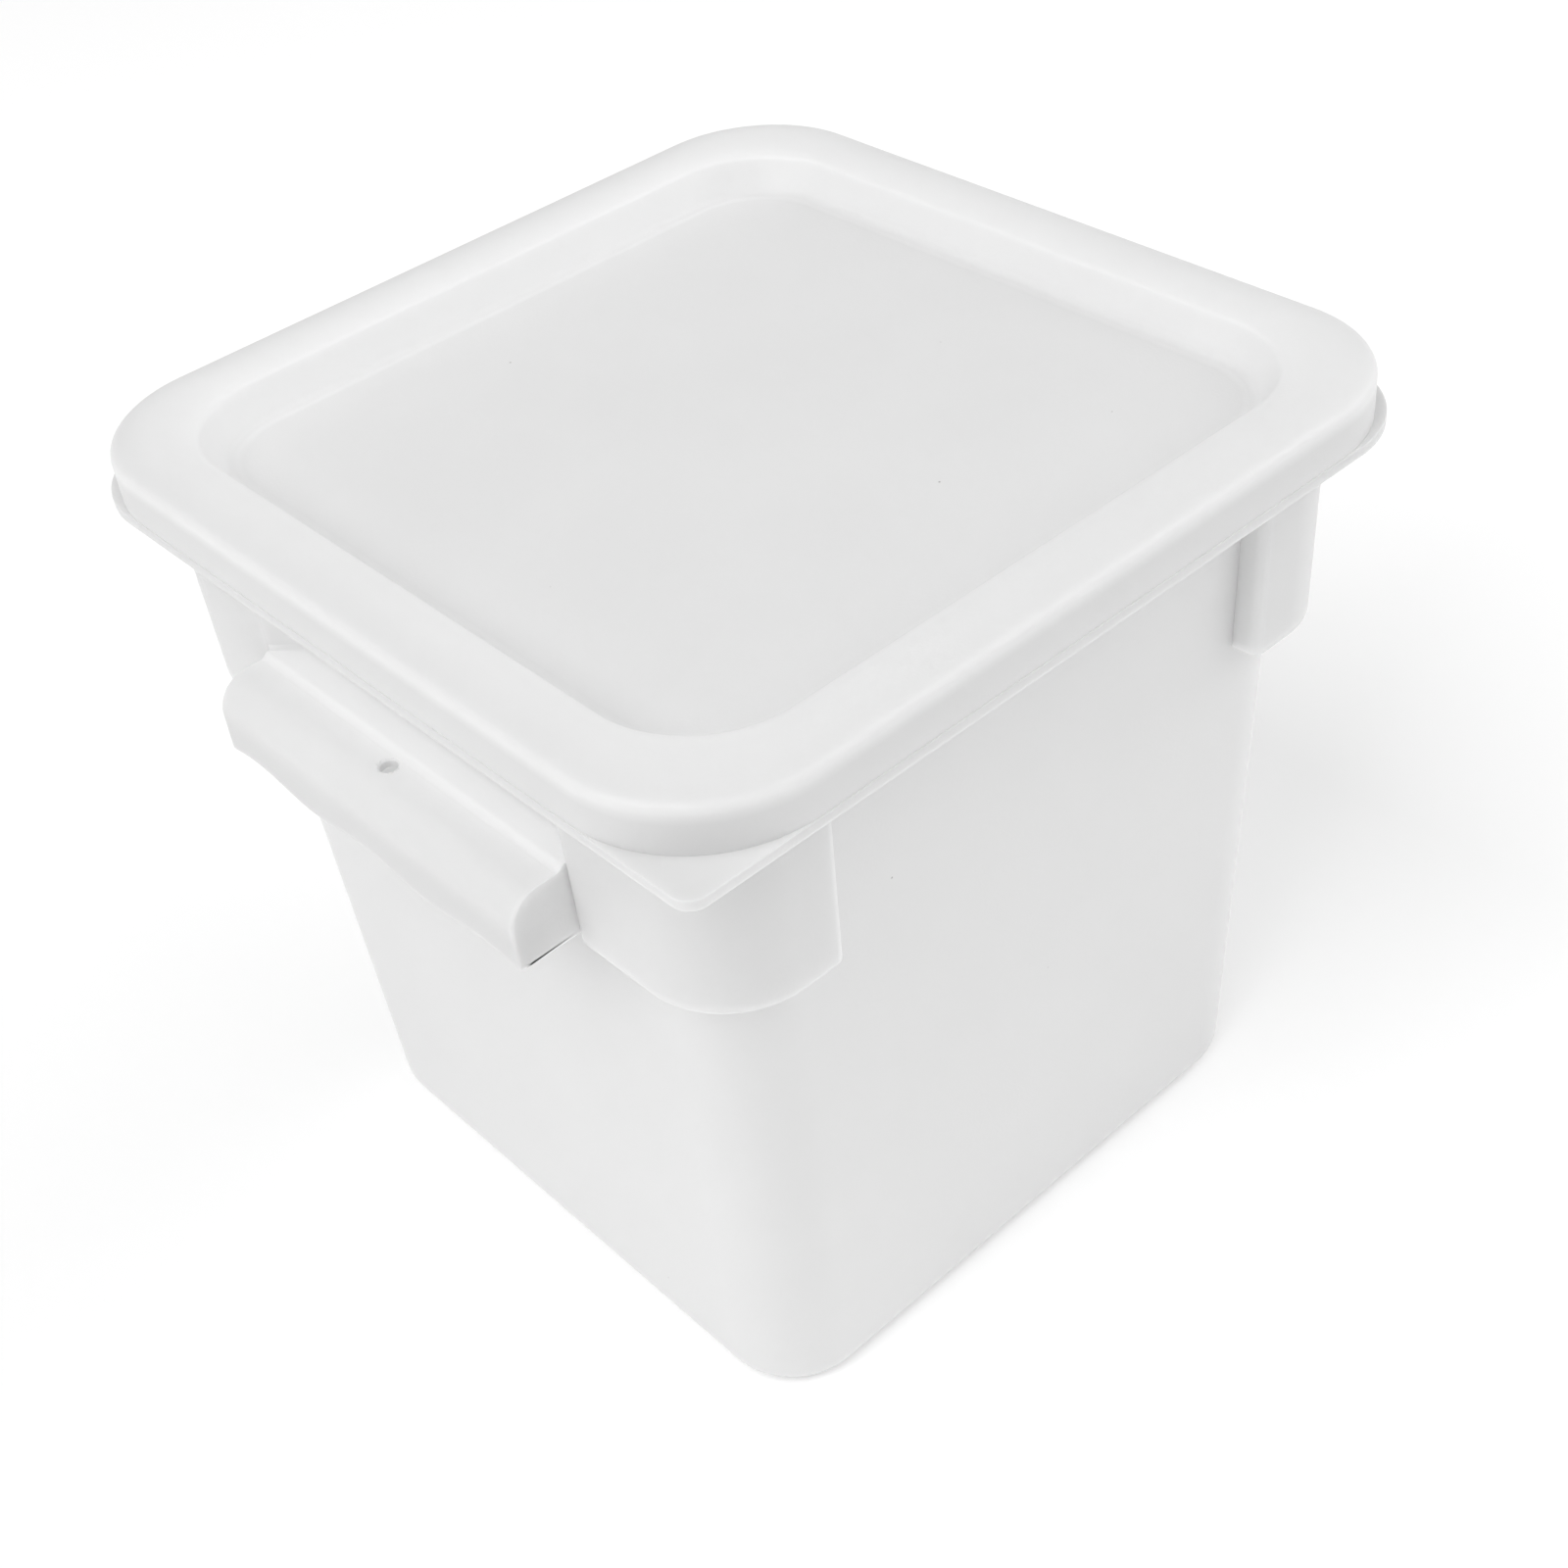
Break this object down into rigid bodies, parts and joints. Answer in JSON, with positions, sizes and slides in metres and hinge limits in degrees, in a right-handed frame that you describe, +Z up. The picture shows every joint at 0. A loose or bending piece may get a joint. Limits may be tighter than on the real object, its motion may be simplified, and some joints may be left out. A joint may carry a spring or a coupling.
{
  "type": "square food storage container",
  "caption": "Square tapered food storage container with a lift-off lid, raised lid bead, recessed stacking panel, corner stacking shoulders and wing handles.",
  "frame": {"origin": "middle of the base, on the surface that the container stands on", "axes": "+Z up through the lid, X through the two wing handles, Y through the two plain faces"},
  "size_m": [0.298, 0.2868, 0.278],
  "materials": {
    "tub_polyethylene": "satin moulded white polyethylene",
    "lid_polyethylene": "satin moulded white polyethylene with a fine grain"
  },
  "bodies": {
    "container": {"container_body": "tub_polyethylene"},
    "lid": {"lid": "lid_polyethylene"}
  },
  "joints": [
    {"name": "lid_lift", "type": "slide", "parent": "container", "child": "lid", "axis": [0, 0, 1], "range_m": [0, 0.06]}
  ]
}
